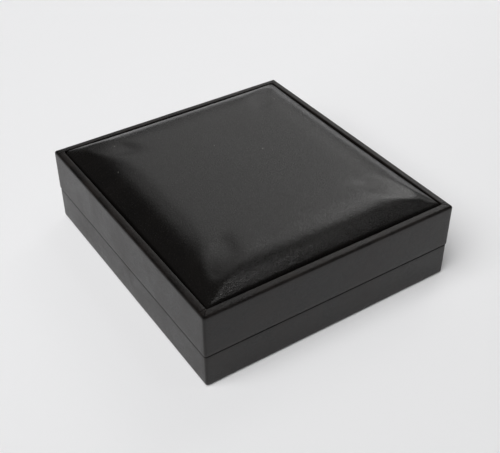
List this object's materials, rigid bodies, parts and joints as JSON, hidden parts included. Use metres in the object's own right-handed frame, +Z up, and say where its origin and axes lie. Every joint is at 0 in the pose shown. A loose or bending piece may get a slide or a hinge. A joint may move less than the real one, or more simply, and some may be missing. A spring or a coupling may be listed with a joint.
{
  "type": "jewelry presentation box",
  "caption": "Leather-covered case with a hinged, padded lid over a lined well with a cushion and a raised form that displays a necklace.",
  "frame": {"origin": "middle of the underside, on the surface that the case stands on", "axes": "+Z up, the front faces -Y, the hinges are along the back at +Y, +X to the right seen from the front"},
  "size_m": [0.185, 0.2, 0.0641],
  "materials": {
    "black_leather": "satin, fine grain",
    "frame_wood": "sanded",
    "fibre_board": "matte",
    "card": "matte",
    "foam": "matte",
    "ivory_suede": "short nap",
    "ivory_satin": "satin weave",
    "black_cloth": "matte nap",
    "brass": "polished",
    "spring_steel": "satin"
  },
  "bodies": {
    "case": {"base_front_rail": "frame_wood", "base_right_rail": "frame_wood", "base_back_rail": "frame_wood", "base_left_rail": "frame_wood", "base_leather": "black_leather", "floor_board": "fibre_board", "underside_infill_card": "card", "underside_cloth": "black_cloth", "base_front_lining": "ivory_suede", "base_right_lining": "ivory_suede", "base_back_lining": "ivory_suede", "base_left_lining": "ivory_suede", "base_hinge_screws": "brass", "hinge_left_base_leaf": "brass", "hinge_right_base_leaf": "brass", "hinge_left_pin": "brass", "hinge_right_pin": "brass", "hinge_left_spring": "spring_steel", "hinge_right_spring": "spring_steel", "insert_board": "fibre_board", "insert_pad": "ivory_suede", "necklace_form": "ivory_suede", "lift_ribbon": "ivory_satin", "strap_staple_left": "brass", "strap_staple_right": "brass", "strap_stud_left": "brass", "strap_stud_right": "brass"},
    "lid": {"lid_front_rail": "frame_wood", "lid_right_rail": "frame_wood", "lid_back_rail": "frame_wood", "lid_left_rail": "frame_wood", "lid_leather": "black_leather", "lid_panel_board": "fibre_board", "lid_panel_foam": "foam", "lid_panel_leather": "black_leather", "lid_lining_board": "fibre_board", "lid_front_lining": "ivory_suede", "lid_right_lining": "ivory_suede", "lid_back_lining": "ivory_suede", "lid_left_lining": "ivory_suede", "lid_satin_pad": "ivory_satin", "lid_hinge_screws": "brass", "hinge_left_lid_leaf": "brass", "hinge_right_lid_leaf": "brass"},
    "left_strap": {"chain_strap_left": "ivory_suede", "strap_cap_left": "brass"},
    "right_strap": {"chain_strap_right": "ivory_suede", "strap_cap_right": "brass"}
  },
  "joints": [
    {"name": "lid_hinge", "type": "hinge", "parent": "case", "child": "lid", "pos_m": [0, 0.0988, 0.0245], "axis": [-1, 0, 0], "range_deg": [0, 95], "deforming": ["hinge_left_spring", "hinge_right_spring"]},
    {"name": "left_strap_turn", "type": "hinge", "parent": "case", "child": "left_strap", "pos_m": [-0.071, 0.06, 0.0172], "axis": [0, -1, 0], "range_deg": [0, 120]},
    {"name": "right_strap_turn", "type": "hinge", "parent": "case", "child": "right_strap", "pos_m": [0.071, 0.06, 0.0172], "axis": [0, 1, 0], "range_deg": [0, 120]}
  ]
}
